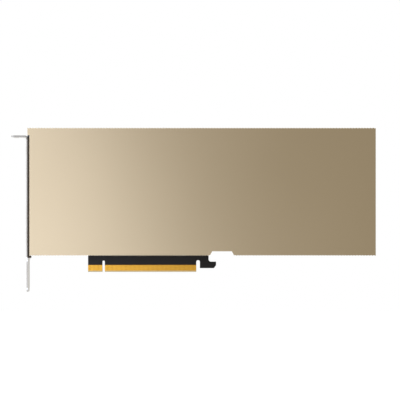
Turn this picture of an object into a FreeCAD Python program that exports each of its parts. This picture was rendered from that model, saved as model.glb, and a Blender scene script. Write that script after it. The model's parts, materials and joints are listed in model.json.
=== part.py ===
import FreeCAD, Part
import os
import re
import Sketcher
from FreeCAD import Placement, Rotation, Vector

# Passive accelerator card: single slot, full height, full length, cooled by the server's own air.
# The frame: the origin is the middle of the key notch, on the board's mid plane, at the tips of the
# edge fingers. +X runs along the card away from the bracket, +Z runs up from the fingers, and the
# gold cover faces -Y. "Level" means the distance in front of the board's front face, towards -Y;
# "depth" means the distance behind its back face, towards +Y. All sizes are in millimetres.

SIZES = {
    # board
    "board_thick": 1.57,
    "board_top": 111.15,
    "board_foot": 14.0,
    "board_end": 209.0,
    "board_bracket_gap": 0.75,
    "pads_left": 11,
    "pads_right": 71,
    "pad_pitch": 1.0,
    "pad_edge": 0.6,
    "pad_key_edge": 0.55,
    "key_width": 1.9,
    "key_top": 8.85,
    "slot_width": 2.8,
    "slot_top": 9.2,
    "hook_foot": 3.0,
    "hook_long": 12.6,
    "hook_back": 8.0,
    "hook_chamfer_long": 1.7,
    "hook_chamfer_tall": 2.3,
    "hook_neck": 6.8,
    "throat_top": 17.6,
    "throat_past_notch": 2.6,
    "throat_radius": 1.8,
    "edge_bevel_tall": 0.9,
    "edge_bevel_deep": 0.4,
    # edge contacts
    "pad_width": 0.7,
    "pad_bevel_gap": 0.05,
    "pad_top": 5.6,
    "pad_thick": 0.05,
    # bracket
    "bracket_reach": 57.15,
    "bracket_thick": 1.0,
    "bracket_width": 18.42,
    "bracket_top": 105.4,
    "bracket_tall": 120.02,
    "bracket_bend": 0.6,
    "tab_long": 11.43,
    "tab_corner": 1.6,
    "tab_notch_width": 4.42,
    "tab_notch_deep": 5.1,
    "tab_notch_from_face": 6.3,
    "shoulder_top": 12.2,
    "shoulder_foot": 8.9,
    "tongue_width": 10.19,
    "tongue_inset": 2.6,
    "tip_narrow": 1.6,
    "tip_tall": 3.2,
    "vent_width": 4.4,
    "vent_columns": 2,
    "vent_column_pitch": 6.0,
    "vent_tall": 2.5,
    "vent_pitch": 3.7,
    "vent_from_screw": 9.0,
    "vent_shift": 0.8,
    # cover
    "cover_level": 14.47,
    "cover_skin": 1.2,
    "cover_wall": 1.6,
    "cover_bracket_gap": 1.65,
    "cover_overhang": 0.5,
    "cover_drop": 0.7,
    "cover_rise": 0.2,
    "cover_board_gap": 0.1,
    "lug_gap": 0.2,
    "lug_bracket_gap": 0.1,
    "rib_pitch": 2.17,
    "rib_tall": 0.6,
    "rib_stock": 0.1,
    "notch_from_throat": 0.8,
    "notch_long": 18.7,
    "notch_slope": 1.9,
    "notch_under_throat": 0.9,
    "notch_wall": 1.1,
    # cooler frame
    "frame_level": 3.9,
    "frame_plate": 2.0,
    "frame_bracket_gap": 1.85,
    "frame_inset": 0.4,
    "fit_gap": 0.15,
    "rail_foot_tall": 5.0,
    "rail_head_tall": 3.6,
    "end_block_long": 9.0,
    "end_block_tall": 10.0,
    "boss_radius": 2.6,
    "boss_from_bracket": 11.15,
    "boss_from_end": 13.0,
    "boss_from_foot": 4.0,
    "boss_from_top": 4.35,
    "boss_columns": 3,
    # vapour chamber, fins
    "gpu_across": 38.0,
    "gpu_up": 61.0,
    "chamber_long": 92.0,
    "chamber_foot_margin": 0.95,
    "chamber_head_margin": 5.0,
    "chamber_thick": 3.0,
    "chamber_corner": 4.0,
    "post_spread": 27.0,
    "post_radius": 2.5,
    "outlet_long": 11.15,
    "inlet_long": 23.0,
    "fin_pitch": 1.9,
    "fin_thick": 0.35,
    "fin_skin": 0.35,
    # processor
    "substrate_side": 45.0,
    "substrate_thick": 1.9,
    "die_long": 26.0,
    "die_tall": 24.0,
    "paste_thick": 0.1,
    "stiffener_side": 43.0,
    "stiffener_width": 4.5,
    "stiffener_thick": 0.6,
    # memory
    "memory_long": 14.0,
    "memory_wide": 12.0,
    "memory_thick": 1.1,
    "memory_pad_inset": 0.5,
    "memory_side_away": 36.0,
    "memory_side_pitch": 16.0,
    "memory_end_away": 31.5,
    "memory_end_pitch": 18.0,
    # power parts
    "inductor_side": 7.0,
    "inductor_tall": 3.4,
    "phase_pitch": 11.5,
    "phase_count": 6,
    "phase_from_chamber": 12.0,
    "phase_column_pitch": 28.0,
    "stage_offset": 8.5,
    "stage_long": 5.0,
    "stage_tall": 6.0,
    "stage_thick": 0.9,
    "tank_from_column": 24.0,
    "tank_long": 7.3,
    "tank_wide": 4.3,
    "tank_tall": 2.8,
    "shunt_long": 6.4,
    "shunt_wide": 3.2,
    "shunt_tall": 0.7,
    # small parts
    "chip_side": 7.0,
    "chip_thick": 0.9,
    "flash_long": 6.0,
    "flash_wide": 5.0,
    "flash_thick": 1.6,
    "ceramic_long": 2.0,
    "ceramic_wide": 1.25,
    "ceramic_tall": 1.2,
    "ceramic_away": 9.0,
    "ceramic_pitch": 6.5,
    "bypass_pitch": 4.5,
    "bypass_away": 14.0,
    "control_from_bracket": 27.15,
    "control_pitch": 20.0,
    # power connector
    "socket_long": 16.4,
    "socket_inset": 0.6,
    "socket_drop": 2.0,
    "socket_pitch": 4.2,
    "socket_cell": 3.5,
    "socket_cell_deep": 12.0,
    "socket_columns": 4,
    "socket_rows": 2,
    "socket_wall": 0.7,
    "socket_level": 0.3,
    "socket_clear": 1.0,
    "latch_long": 5.0,
    "latch_wide": 3.4,
    "latch_tall": 1.3,
    "pin_side": 1.1,
    "pin_reach": 9.0,
    "pin_back": 5.0,
    "socket_foot_wide": 1.5,
    # back of the card
    "plate_bracket_gap": 3.15,
    "plate_end_gap": 2.0,
    "plate_foot_gap": 0.3,
    "plate_top_gap": 0.35,
    "plate_corner": 3.0,
    "plate_depth": 1.45,
    "plate_thick": 1.0,
    "plate_window": 66.0,
    "window_corner": 5.0,
    "plate_lip_radius": 3.4,
    "film_thick": 0.2,
    "film_inset": 1.0,
    "cushion_side": 16.0,
    "spring_thick": 1.0,
    "spring_arm": 9.0,
    "spring_end": 3.3,
    "spring_hub": 12.0,
    # screws
    "screw_radius": 1.25,
    "screw_play": 0.15,
    "screw_head_radius": 2.3,
    "screw_head_tall": 0.9,
    "screw_grip": 3.5,
    "cover_seat_radius": 2.7,
    "socket_hex_radius": 0.85,
    "socket_hex_deep": 0.7,
    "bracket_screw_long": 7.0,
    "bracket_screw_up": 4.6,
    "cover_screw_long": 4.2,
    "cover_screw_from_bracket": 17.15,
    "cover_screw_from_end": 15.0,
    "cover_screw_count": 2,
    "cover_screw_level": 9.6,
    "extender_hole_radius": 1.25,
    "extender_hole_deep": 7.0,
    "extender_hole_up": 6.5,
    "extender_hole_level": 7.0,
}

# Places and sizes that follow from the ones above, each written once and spelled out by tied().
PLACES = {
    "board_face": "-(board_thick / 2)",
    "board_back": "(board_thick / 2)",
    "board_start": "(-bracket_reach + board_bracket_gap)",
    "pad_first_left": "(-(key_width / 2) - pad_key_edge - (pads_left - 1) * pad_pitch)",
    "pad_first_right": "(key_width / 2 + pad_key_edge)",
    "pad_foot": "(edge_bevel_tall + pad_bevel_gap)",
    "tongue_start": "(pad_first_left - pad_edge)",
    "tongue_end": "(pad_first_right + (pads_right - 1) * pad_pitch + pad_edge)",
    "hook_start": "(tongue_end + slot_width)",
    "hook_end": "(hook_start + hook_long)",
    "throat_left": "(hook_start + hook_neck)",
    "throat_right": "(notch_end + throat_past_notch)",
    "bracket_outside": "(-bracket_reach - bracket_thick)",
    "vent_first": "(bracket_screw_low + vent_from_screw)",
    "vent_last": "(bracket_screw_high - vent_from_screw)",
    "cover_start": "(-bracket_reach + cover_bracket_gap)",
    "cover_end": "(board_end + cover_overhang)",
    "cover_foot": "(board_foot - cover_drop)",
    "cover_top": "(board_top + cover_rise)",
    "lug_start": "(-bracket_reach + lug_bracket_gap)",
    "lug_foot": "(bracket_top + lug_gap)",
    "notch_start": "(throat_left + notch_from_throat)",
    "notch_end": "(notch_start + notch_long)",
    "notch_top": "(throat_top - notch_under_throat)",
    "notch_clear": "(notch_top + notch_wall + fit_gap)",
    "cover_screw_first": "(-bracket_reach + cover_screw_from_bracket)",
    "cover_screw_last": "(board_end - cover_screw_from_end)",
    "cover_screw_pitch": "((cover_screw_last - cover_screw_first) / (cover_screw_count - 1))",
    "frame_start": "(-bracket_reach + frame_bracket_gap)",
    "frame_end": "(board_end - frame_inset)",
    "frame_foot": "(cover_foot + cover_wall + fit_gap)",
    "frame_head": "(cover_top - cover_wall - fit_gap)",
    "frame_tall": "(cover_level - cover_skin - fit_gap - frame_level)",
    "rail_top": "(frame_foot + rail_foot_tall)",
    "rail_under": "(frame_head - rail_head_tall)",
    "boss_first": "(-bracket_reach + boss_from_bracket)",
    "boss_last": "(board_end - boss_from_end)",
    "boss_foot": "(board_foot + boss_from_foot)",
    "boss_head": "(board_top - boss_from_top)",
    "boss_pitch": "((boss_last - boss_first) / (boss_columns - 1))",
    "bracket_screw_low": "(frame_foot + bracket_screw_up)",
    "bracket_screw_high": "(rail_under - bracket_screw_up)",
    "screw_level": "(frame_level + frame_tall / 2)",
    "chamber_foot": "(rail_top + chamber_foot_margin)",
    "chamber_head": "(rail_under - chamber_head_margin)",
    "chamber_start": "(gpu_across - chamber_long / 2)",
    "chamber_end": "(gpu_across + chamber_long / 2)",
    "chamber_level": "(frame_level + frame_plate - chamber_thick)",
    "die_thick": "(chamber_level - substrate_thick - paste_thick)",
    "fin_level": "(frame_level + frame_plate)",
    "fin_tall": "(frame_tall - frame_plate)",
    "fin_foot": "(rail_top + fit_gap)",
    "fin_count": "floor((rail_under - fin_foot - fin_thick) / fin_pitch)",
    "fins_start": "(-bracket_reach + outlet_long)",
    "fins_end": "(board_end - inlet_long)",
    "phase_first": "(gpu_up - (phase_count - 1) / 2 * phase_pitch)",
    "phase_column_near": "(chamber_end + phase_from_chamber)",
    "phase_column_far": "(phase_column_near + phase_column_pitch)",
    "tank_column": "(phase_column_far + tank_from_column)",
    "control_column": "(-bracket_reach + control_from_bracket)",
    "socket_tall": "(socket_rows * socket_pitch + 2 * socket_wall)",
    "socket_wide": "(socket_columns * socket_pitch + 2 * socket_wall)",
    "socket_end": "(board_end - socket_inset)",
    "socket_start": "(socket_end - socket_long)",
    "socket_foot": "(rail_under - end_block_tall - socket_drop - socket_wide)",
    "plate_start": "(-bracket_reach + plate_bracket_gap)",
    "plate_end": "(board_end - plate_end_gap)",
    "plate_foot": "(board_foot + plate_foot_gap)",
    "plate_top": "(board_top - plate_top_gap)",
}

WORD = re.compile(r"[a-z][a-z_]*[a-z]")

doc = FreeCAD.newDocument("accelerator_card")
sheet = doc.addObject("Spreadsheet::Sheet", "Sizes")
for line, (alias, size) in enumerate(SIZES.items(), 1):
    sheet.set("A%d" % line, alias)
    sheet.set("B%d" % line, repr(size))
    sheet.setAlias("B%d" % line, alias)
doc.recompute()


# ---- helpers: every size below is an expression over the sheet's names ----

def tied(text):
    """The text with each place spelled out and each size's name pointing into the sheet."""
    spelled = WORD.sub(lambda word: PLACES.get(word.group(), word.group()), text)
    if spelled != text:
        return tied(spelled)
    return WORD.sub(lambda word: "Sizes." + word.group() if word.group() in SIZES else word.group(), text)


def number(text):
    return float(sheet.evalExpression(tied(text)))


def level(text):
    """The Y of a plane this far in front of the board's front face."""
    return "board_face - (%s)" % text


def depth(text):
    """The Y of a plane this far behind the board's back face."""
    return "board_back + (%s)" % text


def origin_part(body, role):
    return [feature for feature in body.Origin.OriginFeatures if feature.Role == role][0]


def new_body(node):
    body = doc.addObject("PartDesign::Body", node)
    body.Label = node
    return body


def sketch_on(body, role, at="0"):
    """An empty sketch on one of the body's origin planes, moved along its normal.
    XY looks along +Z, XZ along -Y and YZ along +X; "at" is the plane's own X, Y or Z."""
    sketch = body.newObject("Sketcher::SketchObject", "Sketch")
    sketch.AttachmentSupport = [(origin_part(body, role), "")]
    sketch.MapMode = "FlatFace"
    offset = "-(%s)" % at if role == "XZ_Plane" else at
    sketch.setExpression("AttachmentOffset.Base.z", tied(offset))
    return sketch


def hold(sketch, curve, point, across, up):
    """Bind one point of a curve to its two sizes."""
    for kind, text in (("DistanceX", across), ("DistanceY", up)):
        index = sketch.addConstraint(Sketcher.Constraint(kind, -1, 1, curve, point, number(text)))
        sketch.setExpression("Constraints[%d]" % index, tied(text))


def polygon(sketch, corners):
    """Straight lines through the corners, each corner an (across, up) pair of expressions."""
    points = [Vector(number(across), number(up), 0) for across, up in corners]
    first = len(sketch.Geometry)
    count = len(corners)
    for index in range(count):
        sketch.addGeometry(Part.LineSegment(points[index], points[(index + 1) % count]), False)
    for index in range(count):
        following = first + (index + 1) % count
        sketch.addConstraint(Sketcher.Constraint("Coincident", first + index, 2, following, 1))
    for index, (across, up) in enumerate(corners):
        hold(sketch, first + index, 1, across, up)


def rectangle(sketch, left, foot, right, top):
    polygon(sketch, [(left, foot), (right, foot), (right, top), (left, top)])


def disc(sketch, across, up, radius):
    centre = Vector(number(across), number(up), 0)
    curve = sketch.addGeometry(Part.Circle(centre, Vector(0, 0, 1), number(radius)), False)
    hold(sketch, curve, 3, across, up)
    index = sketch.addConstraint(Sketcher.Constraint("Radius", curve, number(radius)))
    sketch.setExpression("Constraints[%d]" % index, tied(radius))


def pad(body, sketch, length, against=False):
    """Grow the sketch along its normal, or against it."""
    feature = body.newObject("PartDesign::Pad", "Pad")
    feature.Profile = sketch
    feature.Reversed = against
    feature.setExpression("Length", tied(length))
    body.Tip = feature
    doc.recompute()
    return feature


def cut(body, sketch, length, against=False):
    """Remove the sketch's sweep along its normal, or against it, and see that it removed something."""
    before = body.Shape.Volume
    feature = body.newObject("PartDesign::Pocket", "Pocket")
    feature.Profile = sketch
    feature.Reversed = not against
    feature.setExpression("Length", tied(length))
    body.Tip = feature
    doc.recompute()
    if body.Shape.Volume > before - 1e-6:
        raise RuntimeError("a cut in %s removed nothing" % body.Label)
    return feature


def row(body, feature, axis, count, pitch, second=None, refine=True):
    """Repeat the feature along an origin axis, and along a second one where it is given."""
    pattern = body.newObject("PartDesign::LinearPattern", "Pattern")
    pattern.Refine = refine
    pattern.Originals = [feature]
    pattern.Direction = (origin_part(body, axis), [""])
    pattern.Mode = "Spacing"
    pattern.setExpression("Occurrences", tied(count))
    pattern.setExpression("Offset", tied(pitch))
    if second:
        pattern.Direction2 = (origin_part(body, second[0]), [""])
        pattern.Mode2 = "Extent"
        pattern.setExpression("Occurrences2", tied(second[1]))
        pattern.setExpression("Length2", tied("(%s - 1) * (%s)" % second[1:]))
    body.Tip = pattern
    doc.recompute()
    return pattern


def edges_where(shape, test):
    """The names of the straight edges whose two ends both pass the test."""
    names = []
    for index, edge in enumerate(shape.Edges, 1):
        if len(edge.Vertexes) == 2 and all(test(vertex.Point) for vertex in edge.Vertexes):
            names.append("Edge%d" % index)
    return names


def dress(body, kind, names, **sizes):
    """A Fillet or Chamfer on the named edges of the body's tip."""
    base = body.Tip
    feature = body.newObject("PartDesign::" + kind, kind)
    feature.Base = (base, names)
    for field, text in sizes.items():
        feature.setExpression(field, tied(text))
    body.Tip = feature
    doc.recompute()
    return feature


def near(value, target):
    return abs(value - target) < 0.01


def place(item, spot):
    for axis, text in zip("xyz", spot):
        item.setExpression("Placement.Base." + axis, tied(text))


def block(node, size, spot=("0", "0", "0")):
    """A plain box: its three sizes and its lowest corner."""
    box = doc.addObject("Part::Box", node)
    box.Label = node
    for field, text in zip(("Length", "Width", "Height"), size):
        box.setExpression(field, tied(text))
    place(box, spot)
    return box


def rod(node, radius, length, turn=Rotation(), spot=("0", "0", "0")):
    """A cylinder that runs along +Z from its spot before it is turned."""
    cylinder = doc.addObject("Part::Cylinder", node)
    cylinder.Label = node
    cylinder.setExpression("Radius", tied(radius))
    cylinder.setExpression("Height", tied(length))
    cylinder.Placement = Placement(Vector(), turn)
    place(cylinder, spot)
    return cylinder


def group(node, master, spots, turns=None):
    """One node of equal pieces: a link to the master at each spot."""
    links = []
    for index, spot in enumerate(spots):
        link = doc.addObject("App::Link", "%s_%d" % (node, index + 1))
        link.setLink(master)
        link.Placement = Placement(Vector(), turns[index] if turns else Rotation())
        place(link, spot)
        links.append(link)
    compound = doc.addObject("Part::Compound", node)
    compound.Label = node
    compound.Links = links
    return compound


def group_of(node, pieces):
    """One node of pieces with two or more masters: (master, spot) pairs."""
    links = []
    for index, (master, spot) in enumerate(pieces):
        link = doc.addObject("App::Link", "%s_%d" % (node, index + 1))
        link.setLink(master)
        place(link, spot)
        links.append(link)
    compound = doc.addObject("Part::Compound", node)
    compound.Label = node
    compound.Links = links
    return compound


def drill(body, radius, length, spot, turn, end=None):
    """Remove a cylinder, or a cone down to the end radius, that starts at the spot."""
    before = body.Shape.Volume
    kind = "SubtractiveCone" if end else "SubtractiveCylinder"
    hole = body.newObject("PartDesign::" + kind, "Drill")
    for field, text in (("Radius1", radius), ("Radius2", end)) if end else (("Radius", radius),):
        hole.setExpression(field, tied(text))
    hole.setExpression("Height", tied(length))
    hole.Placement = Placement(Vector(), turn)
    place(hole, spot)
    body.Tip = hole
    doc.recompute()
    if body.Shape.Volume > before - 1e-6:
        raise RuntimeError("a hole in %s removed nothing" % body.Label)
    return hole


# Turns that point a piece's own +Z along another axis.
UP = Rotation()
DOWN = Rotation(Vector(1, 0, 0), 180)
TO_FRONT = Rotation(Vector(1, 0, 0), 90)
TO_RIGHT = Rotation(Vector(0, 1, 0), 90)
TO_LEFT = Rotation(Vector(0, 1, 0), -90)

# Places that several pieces share.
PHASES = range(int(SIZES["phase_count"]))
POSTS = [("gpu_across %s post_spread" % side, "gpu_up %s post_spread" % end)
         for side in ("-", "+") for end in ("-", "+")]


# ---- board and contacts ----

def circuit_board():
    """The board: one outline with the finger tongue, the key notch and the retention hook."""
    body = new_body("circuit_board")
    outline = sketch_on(body, "XZ_Plane", "board_face")
    polygon(outline, [
        ("board_start", "board_foot"),
        ("tongue_start", "board_foot"),
        ("tongue_start", "0"),
        ("tongue_end", "0"),
        ("tongue_end", "slot_top - slot_width / 2"),
        ("hook_start", "slot_top - slot_width / 2"),
        ("hook_start", "hook_foot"),
        ("hook_end - hook_chamfer_long", "hook_foot"),
        ("hook_end", "hook_foot + hook_chamfer_tall"),
        ("hook_end", "hook_back"),
        ("throat_left", "hook_back"),
        ("throat_left", "throat_top"),
        ("throat_right", "throat_top"),
        ("throat_right", "board_foot"),
        ("board_end", "board_foot"),
        ("board_end", "board_top"),
        ("board_start", "board_top"),
    ])
    pad(body, outline, "board_thick", against=True)
    throat = edges_where(body.Shape, lambda point: near(point.x, number("throat_left"))
                         and near(point.z, number("hook_back")))
    dress(body, "Fillet", throat, Radius="throat_radius")
    key = sketch_on(body, "XZ_Plane", "board_back")
    rectangle(key, "-key_width / 2", "-1", "key_width / 2", "key_top - key_width / 2")
    cut(body, key, "board_thick")
    for across, top, width in (("0", "key_top", "key_width"),
                               ("tongue_end + slot_width / 2", "slot_top", "slot_width")):
        round_end = sketch_on(body, "XZ_Plane", "board_back")
        disc(round_end, across, "%s - %s / 2" % (top, width), "%s / 2" % width)
        cut(body, round_end, "board_thick")
    for side in ("", "-"):
        bevel = sketch_on(body, "YZ_Plane", "tongue_start")
        polygon(bevel, [
            (side + "board_thick / 2", "0"),
            (side + "board_thick / 2", "edge_bevel_tall"),
            (side + "(board_thick / 2 - edge_bevel_deep)", "0"),
        ])
        cut(body, bevel, "tongue_end - tongue_start")
    holes = sketch_on(body, "XZ_Plane", "board_back")
    disc(holes, "boss_first", "boss_foot", "screw_radius + screw_play")
    first = cut(body, holes, "board_thick")
    row(body, first, "X_Axis", "boss_columns", "boss_pitch",
        ("Z_Axis", "2", "boss_head - boss_foot"))
    posts = sketch_on(body, "XZ_Plane", "board_back")
    disc(posts, "gpu_across - post_spread", "gpu_up - post_spread", "screw_radius + screw_play")
    first = cut(body, posts, "board_thick")
    row(body, first, "X_Axis", "2", "2 * post_spread", ("Z_Axis", "2", "2 * post_spread"))


def edge_contacts():
    """Two rows of gold pads, one on each face of the tongue."""
    pad_box = block("contact_pad", ("pad_width", "pad_thick", "pad_top - pad_foot"))
    columns = []
    for start, count in (("pad_first_left", "pads_left"), ("pad_first_right", "pads_right")):
        for index in range(int(SIZES[count])):
            columns.append("%s + %d * pad_pitch - pad_width / 2" % (start, index))
    group("edge_contacts_front", pad_box, [(column, level("pad_thick"), "pad_foot") for column in columns])
    group("edge_contacts_back", pad_box, [(column, "board_back", "pad_foot") for column in columns])


# ---- bracket ----

def bracket():
    """One folded steel sheet: vented face, screw tab at the top, tapered tongue at the foot."""
    body = new_body("bracket")
    front = level("cover_level")
    rear = level("cover_level - bracket_width")
    tip = "bracket_top - bracket_tall"
    tongue_front = "%s + tongue_inset" % front
    tongue_rear = "%s + tongue_inset + tongue_width" % front
    face = sketch_on(body, "YZ_Plane", "-bracket_reach")
    polygon(face, [
        (front, "bracket_top"),
        (front, "shoulder_top"),
        (tongue_front, "shoulder_foot"),
        (tongue_front, tip + " + tip_tall"),
        (tongue_front + " + tip_narrow", tip),
        (tongue_rear + " - tip_narrow", tip),
        (tongue_rear, tip + " + tip_tall"),
        (tongue_rear, "shoulder_foot"),
        (rear, "shoulder_top"),
        (rear, "bracket_top"),
    ])
    pad(body, face, "bracket_thick", against=True)
    tab_start = "bracket_outside - tab_long"
    tab = sketch_on(body, "XY_Plane", "bracket_top - bracket_thick")
    polygon(tab, [
        ("bracket_outside", front),
        ("bracket_outside", rear),
        (tab_start + " + tab_corner", rear),
        (tab_start, rear + " - tab_corner"),
        (tab_start, front + " + tab_corner"),
        (tab_start + " + tab_corner", front),
    ])
    pad(body, tab, "bracket_thick")
    outer = edges_where(body.Shape, lambda point: near(point.x, number("-bracket_reach"))
                        and near(point.z, number("bracket_top")))
    dress(body, "Fillet", outer, Radius="bracket_bend + bracket_thick")
    inner = edges_where(body.Shape, lambda point: near(point.x, number("bracket_outside"))
                        and near(point.z, number("bracket_top - bracket_thick")))
    dress(body, "Fillet", inner, Radius="bracket_bend")
    notch_centre = ("bracket_outside - tab_notch_from_face",
                    rear + " - tab_notch_deep + tab_notch_width / 2")
    throat = sketch_on(body, "XY_Plane", "bracket_top - bracket_thick")
    rectangle(throat, notch_centre[0] + " - tab_notch_width / 2", notch_centre[1],
              notch_centre[0] + " + tab_notch_width / 2", rear + " + 1")
    cut(body, throat, "bracket_thick")
    seat = sketch_on(body, "XY_Plane", "bracket_top - bracket_thick")
    disc(seat, notch_centre[0], notch_centre[1], "tab_notch_width / 2")
    cut(body, seat, "bracket_thick")
    vent_middle = level("(cover_level - cover_skin + vent_shift + (vent_columns - 1) * vent_column_pitch) / 2")
    vent = sketch_on(body, "YZ_Plane", "bracket_outside")
    rectangle(vent, vent_middle + " - vent_width / 2", "vent_first - vent_tall / 2",
              vent_middle + " + vent_width / 2", "vent_first + vent_tall / 2")
    first = cut(body, vent, "bracket_thick")
    row(body, first, "Z_Axis", "floor((vent_last - vent_first) / vent_pitch) + 1", "vent_pitch",
        ("Y_Axis", "vent_columns", "vent_column_pitch"))
    for up in ("bracket_screw_low", "bracket_screw_high"):
        spot = ("bracket_outside", level("screw_level"), up)
        drill(body, "screw_radius + screw_play", "bracket_thick", spot, TO_RIGHT)
        drill(body, "screw_head_radius", "screw_head_tall", spot, TO_RIGHT, "screw_radius")


# ---- cover ----

def shroud():
    """The cover: a flat plate and two ribbed side walls, open at both ends for the air.
    The ribs are V grooves cut last from a little extra stock, so that their crests come out sharp."""
    body = new_body("shroud")
    wall_foot = level("cover_board_gap")
    outline = sketch_on(body, "XZ_Plane", wall_foot)
    polygon(outline, [
        ("cover_start", "cover_foot - rib_stock"),
        ("cover_end", "cover_foot - rib_stock"),
        ("cover_end", "cover_top + rib_stock"),
        ("lug_start", "cover_top + rib_stock"),
        ("lug_start", "lug_foot"),
        ("cover_start", "lug_foot"),
    ])
    pad(body, outline, "cover_level - cover_board_gap")
    notch = sketch_on(body, "XZ_Plane", wall_foot)
    polygon(notch, [
        ("notch_start", "cover_foot - 1"),
        ("notch_start", "cover_foot"),
        ("notch_start + notch_slope", "notch_top"),
        ("notch_end - notch_slope", "notch_top"),
        ("notch_end", "cover_foot"),
        ("notch_end", "cover_foot - 1"),
    ])
    cut(body, notch, "cover_level - cover_board_gap")
    channel = sketch_on(body, "XZ_Plane", wall_foot)
    polygon(channel, [
        ("-bracket_reach - 1", "cover_foot + cover_wall"),
        ("notch_start - notch_wall", "cover_foot + cover_wall"),
        ("notch_start + notch_slope - notch_wall", "notch_top + notch_wall"),
        ("notch_end - notch_slope + notch_wall", "notch_top + notch_wall"),
        ("notch_end + notch_wall", "cover_foot + cover_wall"),
        ("cover_end + 1", "cover_foot + cover_wall"),
        ("cover_end + 1", "cover_top - cover_wall"),
        ("-bracket_reach - 1", "cover_top - cover_wall"),
    ])
    cut(body, channel, "cover_level - cover_skin - cover_board_gap")
    for edge, sign, turn in (("cover_top", "-", DOWN), ("cover_foot", "+", UP)):
        face = "%s %s rib_tall" % (edge, sign)
        for step in range(int(SIZES["cover_screw_count"])):
            spot = ("cover_screw_first + %d * cover_screw_pitch" % step, level("cover_screw_level"))
            drill(body, "screw_radius + screw_play", "cover_wall", spot + (edge,), turn)
            drill(body, "cover_seat_radius", "rib_tall", spot + (edge,), turn)
            drill(body, "screw_head_radius", "screw_head_tall", spot + (face,), turn, "screw_radius")
    flare = "(rib_pitch / 2 * (rib_tall + 2 * rib_stock) / rib_tall)"
    for start, edge, inward, outward in (("lug_start", "cover_top", "-", "+"),
                                         ("cover_start", "cover_foot", "+", "-")):
        middle = start + " + rib_pitch / 2"
        rim = "%s %s 2 * rib_stock" % (edge, outward)
        groove = sketch_on(body, "XZ_Plane", wall_foot)
        polygon(groove, [
            (middle + " - " + flare, rim),
            (middle, "%s %s rib_tall" % (edge, inward)),
            (middle + " + " + flare, rim),
        ])
        first = cut(body, groove, "cover_level - cover_board_gap")
        row(body, first, "X_Axis", "ceil((cover_end - %s) / rib_pitch)" % start, "rib_pitch",
            refine=False)


# ---- cooler frame ----

def cooler_frame():
    """The tray: a plate over the power parts, two rails, end blocks and bosses down to the board."""
    body = new_body("cooler_frame")
    plate = sketch_on(body, "XZ_Plane", level("frame_level"))
    rectangle(plate, "frame_start", "frame_foot", "frame_end", "frame_head")
    pad(body, plate, "frame_plate")
    for low, high in (("frame_foot", "rail_top"), ("rail_under", "frame_head")):
        rail = sketch_on(body, "XZ_Plane", level("frame_level"))
        rectangle(rail, "frame_start", low, "frame_end", high)
        pad(body, rail, "frame_tall")
    for low, high in (("frame_foot", "frame_foot + end_block_tall"),
                      ("rail_under - end_block_tall", "rail_under")):
        for start, end in (("-bracket_reach", "-bracket_reach + end_block_long"),
                           ("frame_end - end_block_long", "frame_end")):
            corner = sketch_on(body, "XZ_Plane", level("frame_level"))
            rectangle(corner, start, low, end, high)
            pad(body, corner, "frame_tall")
    boss = sketch_on(body, "XZ_Plane", "board_face")
    disc(boss, "boss_first", "boss_foot", "boss_radius")
    first = pad(body, boss, "frame_level")
    row(body, first, "X_Axis", "boss_columns", "boss_pitch", ("Z_Axis", "2", "boss_head - boss_foot"))
    thread = sketch_on(body, "XZ_Plane", "board_face")
    disc(thread, "boss_first", "boss_foot", "screw_radius")
    first = cut(body, thread, "screw_grip + screw_play")
    row(body, first, "X_Axis", "boss_columns", "boss_pitch", ("Z_Axis", "2", "boss_head - boss_foot"))
    window = sketch_on(body, "XZ_Plane", level("frame_level"))
    rectangle(window, "chamber_start - fit_gap", "chamber_foot - fit_gap", "chamber_end + fit_gap",
              "chamber_head + fit_gap")
    cut(body, window, "frame_plate")
    bay = sketch_on(body, "XZ_Plane", level("frame_level"))
    rectangle(bay, "socket_start - pin_back - socket_clear", "socket_foot - socket_clear",
              "frame_end + 1", "socket_foot + socket_wide + socket_clear")
    cut(body, bay, "frame_tall")
    relief = sketch_on(body, "XZ_Plane", level("frame_level"))
    rectangle(relief, "notch_start - notch_wall - fit_gap", "cover_foot",
              "notch_end + notch_wall + fit_gap", "notch_clear")
    cut(body, relief, "frame_tall")
    for up, turn in (("frame_foot", UP), ("frame_head", DOWN)):
        spot = ("cover_screw_first", level("cover_screw_level"), up)
        hole = drill(body, "screw_radius", "cover_screw_long", spot, turn)
        row(body, hole, "X_Axis", "cover_screw_count", "cover_screw_pitch")
    for up in ("bracket_screw_low", "bracket_screw_high"):
        spot = ("-bracket_reach", level("screw_level"), up)
        drill(body, "screw_radius", "bracket_screw_long", spot, TO_RIGHT)
    for up in ("frame_foot + extender_hole_up", "rail_under - extender_hole_up"):
        spot = ("frame_end", level("extender_hole_level"), up)
        drill(body, "extender_hole_radius", "extender_hole_deep", spot, TO_LEFT)


# ---- vapour chamber and fins ----

def vapour_chamber():
    """The sealed copper chamber that spreads the heat, with rounded corners."""
    body = new_body("vapour_chamber")
    outline = sketch_on(body, "XZ_Plane", level("chamber_level"))
    rectangle(outline, "chamber_start", "chamber_foot", "chamber_end", "chamber_head")
    pad(body, outline, "chamber_thick")
    corners = [name for name in edges_where(body.Shape, lambda point: True)
               if is_along_y(body.Shape.getElement(name))]
    dress(body, "Fillet", corners, Radius="chamber_corner")


def heat_sink_posts():
    """Four hexagonal threaded posts from the chamber down to the board."""
    hexagon = doc.addObject("Part::Prism", "post_body")
    hexagon.Polygon = 6
    hexagon.setExpression("Circumradius", tied("post_radius"))
    hexagon.setExpression("Height", tied("chamber_level"))
    hexagon.Placement = Placement(Vector(), TO_FRONT)
    post = doc.addObject("Part::Cut", "post")
    post.Base = hexagon
    post.Tool = rod("post_thread", "screw_radius", "chamber_level", TO_FRONT)
    group("heat_sink_posts", post, [(across, "board_face", up) for across, up in POSTS])


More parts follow.
